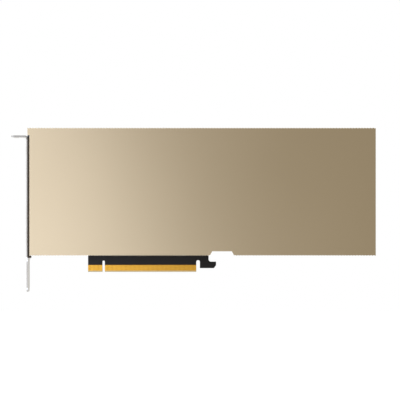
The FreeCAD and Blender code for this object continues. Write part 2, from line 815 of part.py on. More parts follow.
def fin_stack():
    """The stack of folded fins: closed channels side by side, open at both ends."""
    body = new_body("fin_stack")
    outline = sketch_on(body, "YZ_Plane", "fins_start")
    top = "fin_foot + fin_count * fin_pitch + fin_thick"
    rectangle(outline, level("fin_level + fin_tall"), "fin_foot", level("fin_level"), top)
    pad(body, outline, "fins_end - fins_start")
    channel = sketch_on(body, "YZ_Plane", "fins_start")
    rectangle(channel, level("fin_level + fin_tall - fin_skin"), "fin_foot + fin_thick",
              level("fin_level + fin_skin"), "fin_foot + fin_pitch")
    first = cut(body, channel, "fins_end - fins_start")
    row(body, first, "Z_Axis", "fin_count", "fin_pitch")


# ---- processor, memory ----

def on_board(node, across, up, wide, tall, low, thick):
    """A box centred over a spot of the board's front face, between two levels."""
    return block(node, (wide, thick, tall), ("%s - (%s) / 2" % (across, wide),
                 level("%s + (%s)" % (low, thick)), "%s - (%s) / 2" % (up, tall)))


def processor():
    """The package, its stiffener frame, the bare die and the paste that meets the chamber."""
    on_board("gpu_substrate", "gpu_across", "gpu_up", "substrate_side", "substrate_side", "0",
             "substrate_thick")
    ring = doc.addObject("Part::Cut", "gpu_stiffener")
    ring.Label = "gpu_stiffener"
    ring.Base = on_board("stiffener_plate", "gpu_across", "gpu_up", "stiffener_side", "stiffener_side",
                         "substrate_thick", "stiffener_thick")
    inside = "stiffener_side - 2 * stiffener_width"
    ring.Tool = on_board("stiffener_window", "gpu_across", "gpu_up", inside, inside,
                         "substrate_thick", "stiffener_thick")
    on_board("gpu_die", "gpu_across", "gpu_up", "die_long", "die_tall", "substrate_thick", "die_thick")
    on_board("thermal_paste", "gpu_across", "gpu_up", "die_long", "die_tall",
             "substrate_thick + die_thick", "paste_thick")


def memory():
    """Eight packages beside the processor and four above and below it, each under its own pad."""
    pad_thick = "chamber_level - memory_thick"
    for node, low, thick, inset in (("memory_chips", "0", "memory_thick", "0"),
                                    ("memory_pads", "memory_thick", pad_thick, "memory_pad_inset")):
        long, wide = "memory_long - 2 * " + inset, "memory_wide - 2 * " + inset
        upright = block(node + "_upright", (wide, thick, long))
        level_one = block(node + "_level", (long, thick, wide))
        links = []
        for side in ("-", "+"):
            for step in (-1.5, -0.5, 0.5, 1.5):
                links.append((upright, ("gpu_across %s memory_side_away - (%s) / 2" % (side, wide),
                              level("%s + %s" % (low, thick)),
                              "gpu_up + %s * memory_side_pitch - (%s) / 2" % (step, long))))
            for step in (-0.5, 0.5):
                links.append((level_one, ("gpu_across + %s * memory_end_pitch - (%s) / 2" % (step, long),
                              level("%s + %s" % (low, thick)),
                              "gpu_up %s memory_end_away - (%s) / 2" % (side, wide))))
        group_of(node, links)


# ---- power parts ----

def power_parts():
    """Two columns of inductors and power stages, their pads up to the frame, tank capacitors, shunts."""
    columns = ("phase_column_near", "phase_column_far")
    rows = ["phase_first + %d * phase_pitch" % step for step in PHASES]
    inductor = block("inductor", ("inductor_side", "inductor_tall", "inductor_side"))
    group("inductors", inductor, [
        (column + " - inductor_side / 2", level("inductor_tall"), up + " - inductor_side / 2")
        for column in columns for up in rows])
    stage = block("power_stage", ("stage_long", "stage_thick", "stage_tall"))
    group("power_stages", stage, [
        (column + " + stage_offset - stage_long / 2", level("stage_thick"), up + " - stage_tall / 2")
        for column in columns for up in rows])
    strip_tall = "(phase_count - 1) * phase_pitch"
    for node, offset, wide, tall, low in (
            ("inductor_pads", "0", "inductor_side", "inductor_side", "inductor_tall"),
            ("power_stage_pads", "stage_offset", "stage_long", "stage_tall", "stage_thick")):
        strip = block(node + "_strip", (wide, "frame_level - " + low, strip_tall + " + " + tall))
        group(node, strip, [
            ("%s + %s - %s / 2" % (column, offset, wide), level("frame_level"), "phase_first - %s / 2" % tall)
            for column in columns])
    tank = block("tank_capacitor", ("tank_wide", "tank_tall", "tank_long"))
    group("input_capacitors", tank, [
        ("tank_column", level("tank_tall"), up + " - tank_long / 2") for up in rows])
    shunt = block("shunt", ("shunt_long", "shunt_tall", "shunt_wide"))
    group("current_shunts", shunt, [
        ("tank_column + tank_wide + shunt_long / 2", level("shunt_tall"), up + " - shunt_wide / 2")
        for up in rows[2:5]])


def small_parts():
    """Controllers, the firmware memory and small capacitors on the front, bypass capacitors behind."""
    chip = block("controller_chip", ("chip_side", "chip_thick", "chip_side"))
    group("controller_chips", chip, [
        ("control_column - chip_side / 2", level("chip_thick"), up + " - chip_side / 2")
        for up in ("gpu_up - control_pitch", "gpu_up", "gpu_up + control_pitch")])
    block("flash_chip", ("flash_long", "flash_thick", "flash_wide"),
          ("control_column - flash_long / 2", level("flash_thick"), "gpu_up + 1.5 * control_pitch"))
    ceramic = block("ceramic", ("ceramic_long", "ceramic_tall", "ceramic_wide"))
    group("ceramic_capacitors", ceramic, [
        ("control_column %s ceramic_away - ceramic_long / 2" % side, level("ceramic_tall"),
         "gpu_up + %s * ceramic_pitch - ceramic_wide / 2" % step)
        for side in ("-", "+") for step in range(-4, 5)])
    group("bypass_capacitors", ceramic, [
        ("gpu_across + %s * bypass_pitch - ceramic_long / 2" % step, "board_back",
         "gpu_up %s bypass_away - ceramic_wide / 2" % side)
        for side in ("-", "+") for step in (-2.5, -1.5, -0.5, 0.5, 1.5, 2.5)])


# ---- power connector ----

def power_connector():
    """The board socket for the power lead: eight cells, open to the card's far end."""
    body = new_body("power_connector")
    start = "socket_start"
    outline = sketch_on(body, "YZ_Plane", start)
    rectangle(outline, level("socket_level + socket_tall"), "socket_foot", level("socket_level"),
              "socket_foot + socket_wide")
    pad(body, outline, "socket_long")
    for side, at, deep in (("socket_cell", "socket_end - socket_cell_deep", "socket_cell_deep"),
                           ("pin_side", start, "socket_long")):
        middle = (level("socket_level + socket_wall + (socket_rows - 0.5) * socket_pitch"),
                  "socket_foot + socket_wall + socket_pitch / 2")
        cell = sketch_on(body, "YZ_Plane", at)
        rectangle(cell, "%s - %s / 2" % (middle[0], side), "%s - %s / 2" % (middle[1], side),
                  "%s + %s / 2" % (middle[0], side), "%s + %s / 2" % (middle[1], side))
        first = cut(body, cell, deep)
        second = ("Y_Axis", "socket_rows", "socket_pitch")
        row(body, first, "Z_Axis", "socket_columns", "socket_pitch", second)
    latch = sketch_on(body, "XY_Plane", "socket_foot + socket_wide / 2 - latch_wide / 2")
    top = level("socket_level + socket_tall")
    polygon(latch, [
        ("socket_end - 2 * latch_long", top),
        ("socket_end - latch_long", top),
        ("socket_end - latch_long", top + " - latch_tall"),
    ])
    pad(body, latch, "latch_wide")
    for up in ("socket_foot", "socket_foot + socket_wide - socket_foot_wide"):
        foot = sketch_on(body, "XY_Plane", up)
        rectangle(foot, start, level("socket_level"), "socket_end - socket_wall", "board_face")
        pad(body, foot, "socket_foot_wide")


def power_pins():
    """Eight square pins, each bent down behind the socket to the board."""
    body = new_body("power_pins")
    start = "socket_start"
    for index in range(int(SIZES["socket_rows"])):
        height = "socket_level + socket_wall + (%d + 0.5) * socket_pitch" % index
        leg = "%s - pin_back * %s" % (start, (index + 1) / SIZES["socket_rows"])
        shape = sketch_on(body, "XY_Plane", "socket_foot + socket_wall + (socket_pitch - pin_side) / 2")
        polygon(shape, [
            (leg, "board_face"),
            (leg + " + pin_side", "board_face"),
            (leg + " + pin_side", level(height + " - pin_side / 2")),
            ("socket_end - socket_cell_deep + pin_reach", level(height + " - pin_side / 2")),
            ("socket_end - socket_cell_deep + pin_reach", level(height + " + pin_side / 2")),
            (leg, level(height + " + pin_side / 2")),
        ])
        first = pad(body, shape, "pin_side")
        row(body, first, "Z_Axis", "socket_columns", "socket_pitch")


# ---- back of the card ----

def window_corner(point, half):
    return (near(abs(point.x - number("gpu_across")), number(half))
            and near(abs(point.z - number("gpu_up")), number(half)))


def is_along_y(edge):
    start, end = (vertex.Point for vertex in edge.Vertexes)
    return near(start.x, end.x) and near(start.z, end.z)


def backplate():
    """The stamped plate behind the board: rounded, with a window over the processor's spring, a
    relief over the hook's throat and dished screw seats that meet the board."""
    body = new_body("backplate")
    inside = depth("plate_depth")
    outline = sketch_on(body, "XZ_Plane", inside)
    rectangle(outline, "plate_start", "plate_foot", "plate_end", "plate_top")
    pad(body, outline, "plate_thick", against=True)
    corners = [name for name in edges_where(body.Shape, lambda point: True)
               if is_along_y(body.Shape.getElement(name))]
    dress(body, "Fillet", corners, Radius="plate_corner")
    throat = sketch_on(body, "XZ_Plane", inside)
    rectangle(throat, "throat_left", "board_foot", "throat_right", "throat_top")
    cut(body, throat, "plate_thick", against=True)
    window = sketch_on(body, "XZ_Plane", inside)
    half = "(plate_window / 2)"
    rectangle(window, "gpu_across - " + half, "gpu_up - " + half, "gpu_across + " + half, "gpu_up + " + half)
    cut(body, window, "plate_thick", against=True)
    inner = [name for name in edges_where(body.Shape, lambda point: window_corner(point, half))
             if is_along_y(body.Shape.getElement(name))]
    dress(body, "Fillet", inner, Radius="window_corner")
    seat = sketch_on(body, "XZ_Plane", "board_back")
    disc(seat, "boss_first", "boss_foot", "plate_lip_radius")
    first = pad(body, seat, "plate_depth", against=True)
    second = ("Z_Axis", "2", "boss_head - boss_foot")
    row(body, first, "X_Axis", "boss_columns", "boss_pitch", second)
    spot = ("boss_first", depth("plate_depth + plate_thick"), "boss_foot")
    hole = drill(body, "screw_radius + screw_play", "plate_depth + plate_thick", spot, TO_FRONT)
    row(body, hole, "X_Axis", "boss_columns", "boss_pitch", second)
    seat = drill(body, "screw_head_radius", "screw_head_tall", spot, TO_FRONT, "screw_radius")
    row(body, seat, "X_Axis", "boss_columns", "boss_pitch", second)


def backplate_film():
    """The thin insulating film on the inside of the backplate, cut clear of the dished screw seats."""
    body = new_body("backplate_film")
    inside = depth("plate_depth - film_thick")
    outline = sketch_on(body, "XZ_Plane", inside)
    rectangle(outline, "plate_start + film_inset", "plate_foot + film_inset", "plate_end - film_inset",
              "plate_top - film_inset")
    pad(body, outline, "film_thick", against=True)
    throat = sketch_on(body, "XZ_Plane", inside)
    rectangle(throat, "throat_left - film_inset", "board_foot", "throat_right + film_inset",
              "throat_top + film_inset")
    cut(body, throat, "film_thick", against=True)
    window = sketch_on(body, "XZ_Plane", inside)
    half = "(plate_window / 2 + film_inset)"
    rectangle(window, "gpu_across - " + half, "gpu_up - " + half, "gpu_across + " + half, "gpu_up + " + half)
    cut(body, window, "film_thick", against=True)
    inner = [name for name in edges_where(body.Shape, lambda point: window_corner(point, half))
             if is_along_y(body.Shape.getElement(name))]
    dress(body, "Fillet", inner, Radius="window_corner + film_inset")
    seat = sketch_on(body, "XZ_Plane", inside)
    half = "(plate_lip_radius + fit_gap)"
    rectangle(seat, "boss_first - " + half, "boss_foot - " + half, "boss_first + " + half,
              "boss_foot + " + half)
    first = cut(body, seat, "film_thick", against=True)
    row(body, first, "X_Axis", "boss_columns", "boss_pitch", ("Z_Axis", "2", "boss_head - boss_foot"))


def gpu_spring():
    """The crossed leaf spring behind the processor, on its cushion."""
    body = new_body("gpu_spring_plate")
    outer = depth("plate_depth + plate_thick")
    reach = "(sqrt(2) * post_spread + spring_end)"
    for angle in (45, -45):
        arm = sketch_on(body, "XZ_Plane", depth("plate_depth"))
        arm.AttachmentOffset = Placement(arm.AttachmentOffset.Base, Rotation(Vector(0, 0, 1), angle))
        arm.setExpression("AttachmentOffset.Base.x", tied("gpu_across"))
        arm.setExpression("AttachmentOffset.Base.y", tied("gpu_up"))
        rectangle(arm, "-" + reach, "-spring_arm / 2", reach, "spring_arm / 2")
        pad(body, arm, "spring_thick", against=True)
    hub = sketch_on(body, "XZ_Plane", depth("plate_depth"))
    disc(hub, "gpu_across", "gpu_up", "spring_hub")
    pad(body, hub, "spring_thick", against=True)
    spot = ("gpu_across - post_spread", outer, "gpu_up - post_spread")
    for radius, length, end in (("screw_radius + screw_play", "spring_thick", None),
                                ("screw_head_radius", "screw_head_tall", "screw_radius")):
        hole = drill(body, radius, length, spot, TO_FRONT, end)
        row(body, hole, "X_Axis", "2", "2 * post_spread", ("Z_Axis", "2", "2 * post_spread"))
    block("spring_cushion", ("cushion_side", "plate_depth", "cushion_side"),
          ("gpu_across - cushion_side / 2", "board_back", "gpu_up - cushion_side / 2"))


# ---- screws ----

def screw(node, length):
    """A flat-head screw: its head's face at its origin, its tip along +Z, a hex socket in the head."""
    body = doc.addObject("PartDesign::Body", node)
    half = sketch_on(body, "XZ_Plane")
    polygon(half, [
        ("0", "0"),
        ("screw_head_radius", "0"),
        ("screw_radius", "screw_head_tall"),
        ("screw_radius", length),
        ("0", length),
    ])
    turned = body.newObject("PartDesign::Revolution", "Turned")
    turned.Profile = half
    turned.ReferenceAxis = (half, ["V_Axis"])
    turned.Angle = 360
    body.Tip = turned
    doc.recompute()
    socket = body.newObject("PartDesign::SubtractivePrism", "Socket")
    socket.Polygon = 6
    socket.setExpression("Circumradius", tied("socket_hex_radius"))
    socket.setExpression("Height", tied("socket_hex_deep"))
    body.Tip = socket
    doc.recompute()
    return body


def screws():
    """Four sets of the same flat-head screw in four lengths."""
    through = "plate_depth + plate_thick + board_thick"
    outer = depth("plate_depth + plate_thick")
    long_one = screw("long_screw", through + " + screw_grip")
    bosses = [("boss_first + %d * boss_pitch" % step, outer, up)
              for step in range(int(SIZES["boss_columns"])) for up in ("boss_foot", "boss_head")]
    group("backplate_screws", long_one, bosses, [TO_FRONT] * len(bosses))
    spring_one = screw("spring_screw", through + " + chamber_level - screw_play")
    group("spring_screws", spring_one, [(across, outer, up) for across, up in POSTS], [TO_FRONT] * len(POSTS))
    cover_one = screw("cover_screw", "cover_screw_long")
    spots, turns = [], []
    for up, turn in (("cover_top - rib_tall", DOWN), ("cover_foot + rib_tall", UP)):
        for step in range(int(SIZES["cover_screw_count"])):
            across = "cover_screw_first + %d * cover_screw_pitch" % step
            spots.append((across, level("cover_screw_level"), up))
            turns.append(turn)
    group("shroud_screws", cover_one, spots, turns)
    bracket_one = screw("bracket_screw", "bracket_screw_long")
    spots = [("bracket_outside", level("screw_level"), up)
             for up in ("bracket_screw_low", "bracket_screw_high")]
    group("bracket_screws", bracket_one, spots, [TO_RIGHT] * len(spots))


NODES = [
    "circuit_board", "edge_contacts_front", "edge_contacts_back", "bracket", "shroud", "cooler_frame",
    "vapour_chamber", "heat_sink_posts", "fin_stack", "gpu_substrate", "gpu_stiffener", "gpu_die",
    "thermal_paste", "memory_chips", "memory_pads", "inductors", "inductor_pads", "power_stages",
    "power_stage_pads", "input_capacitors", "current_shunts", "controller_chips", "flash_chip",
    "ceramic_capacitors", "bypass_capacitors", "power_connector", "power_pins", "backplate",
    "backplate_film", "gpu_spring_plate", "spring_cushion", "backplate_screws", "spring_screws",
    "shroud_screws", "bracket_screws",
]

for build in (circuit_board, edge_contacts, bracket, shroud, cooler_frame, vapour_chamber,
              heat_sink_posts, fin_stack, processor, memory, power_parts, small_parts, power_connector,
              power_pins, backplate, backplate_film, gpu_spring, screws):
    build()
doc.recompute()

for item in doc.Objects:
    if "Invalid" in item.State or "Error" in item.State:
        raise RuntimeError("%s did not build: %s" % (item.Label, item.State))

os.makedirs("parts", exist_ok=True)
for node in NODES:
    shape = doc.getObjectsByLabel(node)[0].Shape
    if shape.isNull() or not shape.isValid():
        raise RuntimeError("the shape of %s is not valid" % node)
    shape.exportStep("parts/%s.step" % node)
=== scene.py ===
"""Looks for the passive accelerator card: broken edges, plated contacts, finishes and a stage."""

import json
import math

import bpy
from bpy.props import FloatProperty, FloatVectorProperty, IntProperty, PointerProperty
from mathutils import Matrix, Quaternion, Vector

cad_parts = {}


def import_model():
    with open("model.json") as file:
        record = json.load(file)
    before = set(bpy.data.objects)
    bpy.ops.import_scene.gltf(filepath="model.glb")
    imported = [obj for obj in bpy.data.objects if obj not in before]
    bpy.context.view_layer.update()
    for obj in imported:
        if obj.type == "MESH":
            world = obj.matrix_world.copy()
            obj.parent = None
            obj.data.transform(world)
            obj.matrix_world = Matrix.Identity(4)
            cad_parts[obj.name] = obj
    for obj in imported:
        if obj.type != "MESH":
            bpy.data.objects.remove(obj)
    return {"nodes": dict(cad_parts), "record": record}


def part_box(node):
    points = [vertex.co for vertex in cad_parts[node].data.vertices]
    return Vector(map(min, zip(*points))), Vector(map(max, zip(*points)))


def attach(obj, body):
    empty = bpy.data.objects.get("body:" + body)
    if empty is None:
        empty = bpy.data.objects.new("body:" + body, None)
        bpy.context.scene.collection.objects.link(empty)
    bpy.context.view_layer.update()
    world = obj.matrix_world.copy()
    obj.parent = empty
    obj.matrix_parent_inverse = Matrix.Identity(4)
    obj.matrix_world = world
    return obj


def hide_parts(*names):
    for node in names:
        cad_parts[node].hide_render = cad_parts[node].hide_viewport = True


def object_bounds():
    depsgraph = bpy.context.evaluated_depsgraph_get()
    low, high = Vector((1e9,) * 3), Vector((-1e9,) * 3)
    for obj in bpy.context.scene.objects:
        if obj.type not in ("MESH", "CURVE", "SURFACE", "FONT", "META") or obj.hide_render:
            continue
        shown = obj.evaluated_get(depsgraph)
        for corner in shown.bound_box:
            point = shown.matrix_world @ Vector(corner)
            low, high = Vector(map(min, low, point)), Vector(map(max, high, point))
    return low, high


bl_info = {
    "name": "Passive accelerator card",
    "version": (1, 0, 0),
    "blender": (4, 5, 0),
    "location": "View3D > Sidebar > Card",
    "description": "Builds the card's rounded metalwork, contacts, finishes and stage "
                   "around its frame",
    "category": "Object",
}

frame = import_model()
CAD_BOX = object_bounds()
MM = 0.001
BODY = "root"

TINY = 0.001 * MM                  # points closer than this are one point
FLAT_WITHIN = math.radians(0.5)    # triangles this close to one plane are one face
SMOOTH_BELOW = math.radians(50.0)  # faces that meet at less than this are shaded as one surface
SQUARE_ON = 0.95                   # a face looks along an axis if its normal has this much of it
NOISE_MIDDLE = (0.3, 0.7)          # the range that most of a noise pattern lies in
BRUSH_FINENESS = 2600.0            # scale of the pattern across the brush
BRUSH_STRETCH = 0.02               # its share along the brush: the lower, the longer the lines
BRUSH_GLOSS = 0.08                 # how far the lines move the roughness either way
WHITE = (1.0, 1.0, 1.0)


# ---- sizes and colours that a user would change ----

def length(name, description, default):
    """A size in metres."""
    return FloatProperty(name=name, description=description, default=default, min=0.0,
                         unit="LENGTH", precision=6)


def number(name, description, default):
    """A count of like pieces."""
    return IntProperty(name=name, description=description, default=default, min=1)


def factor(name, description, default):
    """A plain factor."""
    return FloatProperty(name=name, description=description, default=default, min=0.0)


def power(name, description, default):
    """The power of a lamp."""
    return FloatProperty(name=name, description=description, default=default, min=0.0,
                         unit="POWER")


def colour(name, description, default):
    """A linear base colour."""
    return FloatVectorProperty(name=name, description=description, default=default,
                               subtype="COLOR", min=0.0, max=1.0, size=3)


class CardSizes(bpy.types.PropertyGroup):
    """Sizes of the finer shapes, in metres."""
    cover_round: length(
        "Cover rounding", "Width broken along the cover's edges", 0.08 * MM)
    sheet_round: length(
        "Sheet rounding", "Width broken along the edges of the sheet metal", 0.08 * MM)
    moulded_round: length(
        "Moulded rounding", "Width broken along the power socket's edges", 0.08 * MM)
    screw_round: length(
        "Screw rounding", "Width broken along the screws' rims", 0.08 * MM)
    pad_pitch: length(
        "Contact pitch", "Distance from one edge contact to the next", 1.0 * MM)
    pad_width: length(
        "Contact width", "Width of one edge contact", 0.7 * MM)
    pad_round: length(
        "Contact rounding", "Corner radius of a contact's upper end", 0.3 * MM)
    pads_short_run: number(
        "Contacts left of the key", "Contacts in the short run", 11)
    pads_long_run: number(
        "Contacts right of the key", "Contacts in the long run", 71)
    # The sizes below shape the dark block that fills the gap between the bracket and the cover:
    # painted shade where there is only shadow.
    gap_block_inset: length(
        "Gap block inset", "How far the shade block lies behind the cover's face", 0.5 * MM)
    gap_block_deep: length(
        "Gap block depth", "Depth of the shade block behind its face", 2.0 * MM)
    gap_block_round: length(
        "Gap block rounding", "Radius along the foam strip's edges", 0.2 * MM)
    gap_block_foot_long: length(
        "Gap block foot length", "How far the shade block's foot runs under the cover", 1.4 * MM)
    gap_block_foot_tall: length(
        "Gap block foot height", "Height of the shade block's foot below the cover", 1.6 * MM)
    end_share: FloatProperty(
        name="Capacitor end", description="Share of a capacitor that each end cap takes",
        default=0.24, min=0.05, max=0.45)


class CardColours(bpy.types.PropertyGroup):
    """Base colours of the finishes, linear."""
    cover: colour(
        "Cover", "Champagne anodised cover", (0.280, 0.216, 0.1285))
    # Painted highlight: the cover's broken edges get a colour far lighter than its face.
    cover_edge_highlight: colour(
        "Cover edge highlight", "Painted highlight on the cover's broken edges", (0.66, 0.58, 0.43))
    contact: colour(
        "Contact", "Gold plating", (0.415, 0.211, 0.023))
    mask: colour(
        "Solder mask", "Black solder mask", (0.0135, 0.0105, 0.0075))
    laminate: colour(
        "Laminate", "Bare board between the contacts", (0.30, 0.13, 0.015))
    bevel: colour(
        "Cut laminate", "Bevel cut along the contacts' feet", (0.62, 0.50, 0.28))
    steel: colour(
        "Steel", "Plated steel bracket", (0.48, 0.455, 0.41))
    # The next two colours darken the bracket's front cut edge: partly the duller steel of the cut,
    # partly painted shade; the tab's edge is painted darker still as shade.
    sheared: colour(
        "Sheared edge", "Duller cut edge of the bracket's sheet, darker still as painted shade", (0.26, 0.232, 0.19))
    tab_shade: colour(
        "Tab edge shade", "Sheared edge of the tab, darker still as painted shade", (0.125, 0.110, 0.088))
    # Painted shade: the colour of the dark block that fills the shadowed gap between the bracket
    # and the cover.
    seal: colour(
        "Seal foam", "Dark block painted as shade in the gap between the bracket and the cover", (0.060, 0.044, 0.028))
    backplate: colour(
        "Backplate", "Black powder coat", (0.018, 0.018, 0.019))


class StageSizes(bpy.types.PropertyGroup):
    """Places and strengths of the floor, the lamps and the camera."""
    floor_drop: length(
        "Floor drop", "Distance from the card's lowest point down to the floor", 0.42)
    floor_size: length(
        "Floor size", "Side of the floor", 8.0)
    fade_start: length(
        "Fade start", "Distance at which the floor starts to fade to the backdrop", 0.9)
    fade_end: length(
        "Fade end", "Distance at which the floor is as white as the backdrop", 1.7)
    floor_glow: factor(
        "Floor glow", "Share of white added to the floor near the card", 0.45)
    far_glow: factor(
        "Far glow", "Share of white added to the floor far out", 0.66)
    camera_gap: length(
        "Camera distance", "Distance from the cover's face to the camera", 0.85)
    lens: FloatProperty(
        name="Lens", description="Focal length on a 36 mm sensor", default=100.0, min=1.0)
    key_watts: power(
        "Key lamp", "Power of the soft lamp at the left", 3.6)
    top_watts: power(
        "Top lamp", "Power of the soft lamp overhead", 2.0)
    fill_watts: power(
        "Fill lamp", "Power of the soft lamp behind", 4.0)
    sky: factor(
        "Sky", "Strength of the even light from all round", 0.5)


def sizes():
    """The sizes set in the scene."""
    return bpy.context.scene.card_sizes


def colours():
    """The colours set in the scene."""
    return bpy.context.scene.card_colours


# ---- modelling helpers ----

def select_only(*pieces):
    """Select these pieces alone and make the first one active."""
    bpy.ops.object.select_all(action="DESELECT")
    for piece in pieces:
        piece.select_set(True)
    bpy.context.view_layer.objects.active = pieces[0]


def in_edit_mode(piece, step, whole=True):
    """Run one edit-mode step on a piece: on its whole mesh, or on what is picked in it."""
    select_only(piece)
    bpy.ops.object.mode_set(mode="EDIT")
    if whole:
        bpy.ops.mesh.select_all(action="SELECT")
    step()
    bpy.ops.object.mode_set(mode="OBJECT")


def pick(piece, kind, test):
    """Pick, for edit mode, the edges or the polygons that pass the test, and nothing else."""
    mesh = piece.data
    for part in (mesh.polygons, mesh.edges, mesh.vertices):
        for item in part:
            item.select = False
    for item in getattr(mesh, kind):
        item.select = test(item)


def merge_points(piece):
    """Join the points of a mesh that lie in one place."""
    in_edit_mode(piece, lambda: bpy.ops.mesh.remove_doubles(threshold=TINY))


def apply_modifier(piece, kind, **settings):
    """Add one modifier, set it up and apply it."""
    select_only(piece)
    modifier = piece.modifiers.new(kind.title(), kind)
    for field, value in settings.items():
        setattr(modifier, field, value)
    bpy.ops.object.modifier_apply(modifier=modifier.name)


def smooth(piece):
    """Shade a piece smooth, apart from its sharp corners."""
    select_only(piece)
    bpy.ops.object.shade_smooth_by_angle(angle=SMOOTH_BELOW)


def paint(piece, *finishes):
    """Give a piece these finishes and no others."""
    piece.data.materials.clear()
    for finish in finishes:
        piece.data.materials.append(finish)


def placed(piece, name):
    """Name a piece, and move its place into its mesh so that its object is at the origin."""
    piece.name = name
    piece.data.name = name
    bpy.ops.object.transform_apply(location=True, rotation=True, scale=True)
    return piece


def box_piece(name, low, high):
    """A cube primitive stretched between two corners."""
    low, high = Vector(low), Vector(high)
    bpy.ops.object.select_all(action="DESELECT")
    bpy.ops.mesh.primitive_cube_add(size=1.0, location=(low + high) / 2)
    piece = bpy.context.active_object
    piece.scale = high - low
    return placed(piece, name)


def joined(name, pieces):
    """Join pieces into one mesh."""
    select_only(*pieces)
    bpy.ops.object.join()
    return placed(bpy.context.active_object, name)


def copied(node, name):
    """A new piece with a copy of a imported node's mesh."""
    piece = bpy.data.objects.new(name, frame["nodes"][node].data.copy())
    piece.data.name = name
    bpy.context.scene.collection.objects.link(piece)
    return piece


def rounded_copy(node, name, width, *finishes, corner=50.0, whole_faces=True):
    """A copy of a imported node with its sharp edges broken, in the second finish if there is one.

    An edge is sharp if its faces meet at more than the corner angle, in degrees. A face with many
    openings keeps its triangles, so that none of them is filled.
    """
    piece = copied(node, name)
    select_only(piece)
    if piece.data.has_custom_normals:
        bpy.ops.mesh.customdata_custom_splitnormals_clear()
    merge_points(piece)
    if whole_faces:
        in_edit_mode(piece, lambda: bpy.ops.mesh.dissolve_limited(angle_limit=FLAT_WITHIN))
    paint(piece, *finishes)
    apply_modifier(piece, "BEVEL", width=width, segments=2, limit_method="ANGLE",
                   angle_limit=math.radians(corner), use_clamp_overlap=False,
                   material=1 if len(finishes) > 1 else -1)
    smooth(piece)
    apply_modifier(piece, "WEIGHTED_NORMAL", mode="FACE_AREA", weight=100, keep_sharp=True)
    return piece


def solids_of(node):
    """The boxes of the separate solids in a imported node."""
    piece = copied(node, node + "_split")
    merge_points(piece)
    select_only(piece)
    bpy.ops.mesh.separate(type="LOOSE")
    boxes = []
    for part in list(bpy.context.selected_objects):
        points = [vertex.co for vertex in part.data.vertices]
        boxes.append(tuple(Vector([end(point[axis] for point in points) for axis in range(3)])
                           for end in (min, max)))
        bpy.data.objects.remove(part)
    return sorted(boxes, key=lambda pair: tuple(pair[0]))


def declare(piece, slot, *nodes):
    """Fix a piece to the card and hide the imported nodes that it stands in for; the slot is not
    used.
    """
    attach(piece, BODY)
    if nodes:
        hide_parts(*nodes)


# ---- nodes that several finishes share ----

def mapped(tree, source, span, onto=(0.0, 1.0)):
    """A node that maps the source from one span of values onto another."""
    node = tree.nodes.new("ShaderNodeMapRange")
    node.inputs["From Min"].default_value, node.inputs["From Max"].default_value = span
    node.inputs["To Min"].default_value, node.inputs["To Max"].default_value = onto
    tree.links.new(source, node.inputs["Value"])
    return node


def combined(tree, operation, first, second):
    """The value that one operation gives for two others."""
    node = tree.nodes.new("ShaderNodeMath")
    node.operation = operation
    tree.links.new(first, node.inputs[0])
    tree.links.new(second, node.inputs[1])
    return node.outputs["Value"]


def new_group(name, inputs, outputs):
    """An empty node group with these inputs, their defaults and these outputs."""
    group = bpy.data.node_groups.new(name, "ShaderNodeTree")
    for label, default in inputs:
        socket = group.interface.new_socket(name=label, in_out="INPUT",
                                            socket_type="NodeSocketFloat")
        socket.default_value = default
    for label in outputs:
        group.interface.new_socket(name=label, in_out="OUTPUT", socket_type="NodeSocketFloat")
    start = group.nodes.new("NodeGroupInput")
    end = group.nodes.new("NodeGroupOutput")
    return group, start, end


def grain_group():
    """Fine even grain with a slow drift: a mask for colour, one for gloss and a height."""
    group, start, end = new_group("Even grain", [("Fineness", 900.0), ("Drift", 12.0)],
                                  ["Tone", "Gloss", "Height"])
    nodes, links = group.nodes, group.links
    place = nodes.new("ShaderNodeTexCoord")
    fine = nodes.new("ShaderNodeTexNoise")
    slow = nodes.new("ShaderNodeTexNoise")
    fine.inputs["Detail"].default_value = 3.0
    slow.inputs["Detail"].default_value = 2.0
    both = nodes.new("ShaderNodeMix")
    both.inputs["Factor"].default_value = 0.35
    for noise, label in ((fine, "Fineness"), (slow, "Drift")):
        links.new(place.outputs["Object"], noise.inputs["Vector"])
        links.new(start.outputs[label], noise.inputs["Scale"])
    links.new(slow.outputs["Fac"], both.inputs["A"])
    links.new(fine.outputs["Fac"], both.inputs["B"])
    links.new(both.outputs["Result"], end.inputs["Tone"])
    links.new(slow.outputs["Fac"], end.inputs["Gloss"])
    links.new(fine.outputs["Fac"], end.inputs["Height"])
    return group


def brushed_group():
    """Long fine lines left by a brush: a mask and a height. A stretch of 1 leaves them round."""
    axes = ("X", "Y", "Z")
    group, start, end = new_group(
        "Brushed lines",
        [("Fineness", BRUSH_FINENESS)] + [("Along " + axis, 1.0) for axis in axes],
        ["Tone", "Height"],
    )
    nodes, links = group.nodes, group.links
    place = nodes.new("ShaderNodeTexCoord")
    stretch = nodes.new("ShaderNodeCombineXYZ")
    for axis in axes:
        links.new(start.outputs["Along " + axis], stretch.inputs[axis])
    scaled = nodes.new("ShaderNodeVectorMath")
    scaled.operation = "MULTIPLY"
    links.new(place.outputs["Object"], scaled.inputs[0])
    links.new(stretch.outputs["Vector"], scaled.inputs[1])
    lines = nodes.new("ShaderNodeTexNoise")
    lines.inputs["Detail"].default_value = 4.0
    lines.inputs["Roughness"].default_value = 0.6
    links.new(scaled.outputs["Vector"], lines.inputs["Vector"])
    links.new(start.outputs["Fineness"], lines.inputs["Scale"])
    links.new(lines.outputs["Fac"], end.inputs["Tone"])
    links.new(lines.outputs["Fac"], end.inputs["Height"])
    return group


GROUPS = {}


def shared(name):
    """The node group of that name, built the first time it is asked for."""
    if name not in GROUPS:
        GROUPS[name] = {"grain": grain_group, "brushed": brushed_group}[name]()
    return GROUPS[name]


# ---- finishes ----

def tinted(base, share):
    """The base colour made lighter or darker by a share."""
    return tuple(min(1.0, channel * (1.0 + share)) for channel in base)


